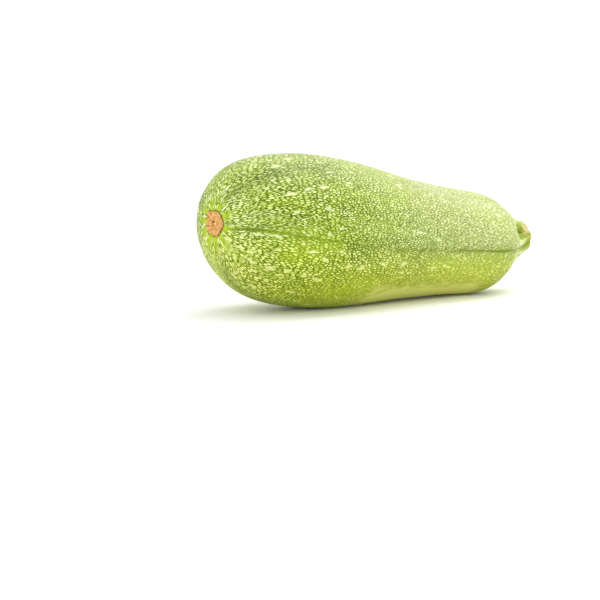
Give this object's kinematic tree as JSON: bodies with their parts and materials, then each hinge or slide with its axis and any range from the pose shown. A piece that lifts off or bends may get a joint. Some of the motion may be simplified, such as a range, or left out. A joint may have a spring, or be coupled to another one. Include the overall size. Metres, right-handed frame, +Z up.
{
  "type": "zucchini",
  "caption": "Pale green speckled zucchini lying on its side, with a cut ribbed stem stub at one end and a corky blossom scar at the other.",
  "frame": {"origin": "on the table top, under the middle of the whole object's box", "axes": "+X along the fruit from the blossom end to the stem, +Z up from the table top"},
  "size_m": [0.1756, 0.0654, 0.0667],
  "materials": {
    "skin": "satin pale green skin with paler flecks",
    "stem": "matt yellowish green, tan where it was cut",
    "scar": "dry matt tan cork"
  },
  "bodies": {
    "root": {"fruit": "skin", "stem": "stem", "blossom_scar": "scar"}
  },
  "joints": []
}
